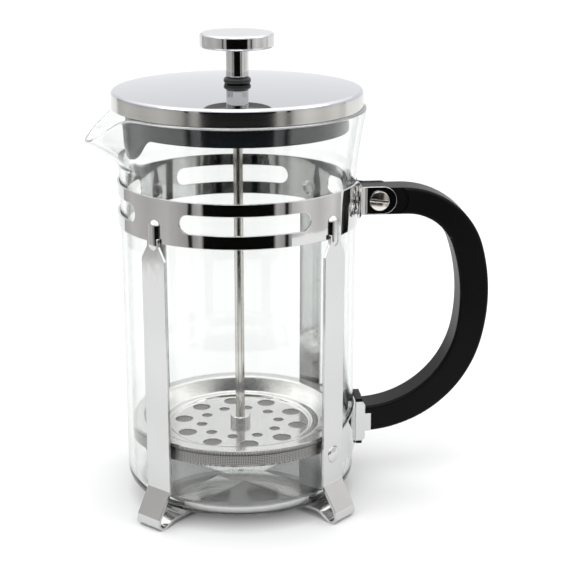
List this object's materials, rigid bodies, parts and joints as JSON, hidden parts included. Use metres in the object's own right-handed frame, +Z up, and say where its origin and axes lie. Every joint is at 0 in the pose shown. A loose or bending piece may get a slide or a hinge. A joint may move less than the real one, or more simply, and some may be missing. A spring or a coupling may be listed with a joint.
{
  "type": "french press",
  "caption": "Glass press pot for coffee in a riveted steel frame with a curved side handle, a domed lid and a plunger with a mesh filter.",
  "frame": {"origin": "on the beaker's axis, on the surface that the four feet stand on", "axes": "+Z up along the beaker and the plunger rod, +X towards the handle, -X towards the spout"},
  "size_m": [0.1696, 0.1062, 0.1985],
  "materials": {
    "glass": "clear polished borosilicate glass",
    "chrome": "mirror polished",
    "lid_steel": "mirror polished top, brushed side",
    "satin_steel": "light satin polish",
    "filter_steel": "pressed stainless sheet",
    "mesh": "fine woven wire",
    "handle_plastic": "fine matte moulding",
    "lid_plastic": "smooth satin moulding",
    "rubber": "soft black rubber",
    "nickel": "nickel plated, turned"
  },
  "bodies": {
    "frame": {"clamp_band": "chrome", "leg_strip_lower": "satin_steel", "leg_strip_upper": "satin_steel", "leg_rivets": "satin_steel", "base_rivet": "satin_steel", "handle": "handle_plastic", "clamp_nut": "nickel", "lower_bracket": "satin_steel", "bracket_rivets": "satin_steel"},
    "beaker": {"beaker": "glass"},
    "gland": {"rod_grommet": "rubber"},
    "lid": {"lid_cover": "lid_steel", "lid_insert": "lid_plastic", "lid_bush": "lid_plastic"},
    "plunger": {"knob": "chrome", "knob_stem": "chrome", "plunger_rod": "filter_steel", "rod_boss": "filter_steel", "filter_plate": "filter_steel", "edge_coil": "filter_steel", "mesh_screen": "mesh", "cross_plate": "filter_steel", "filter_nut": "filter_steel"},
    "screw": {"clamp_screw": "nickel"}
  },
  "joints": [
    {"name": "beaker_lift", "type": "slide", "parent": "frame", "child": "beaker", "axis": [0, 0, 1], "range_m": [0, 0.15]},
    {"name": "lid_lift", "type": "slide", "parent": "beaker", "child": "gland", "axis": [0, 0, 1], "range_m": [0, 0.16]},
    {"name": "lid_turn", "type": "hinge", "parent": "gland", "child": "lid", "pos_m": [0, 0, 0.17], "axis": [0, 0, 1], "continuous": true},
    {"name": "plunger_slide", "type": "slide", "parent": "gland", "child": "plunger", "axis": [0, 0, 1], "range_m": [0, 0.112]},
    {"name": "screw_turn", "type": "hinge", "parent": "frame", "child": "screw", "pos_m": [0.0584, 0, 0.129], "axis": [0, 1, 0], "continuous": true}
  ]
}
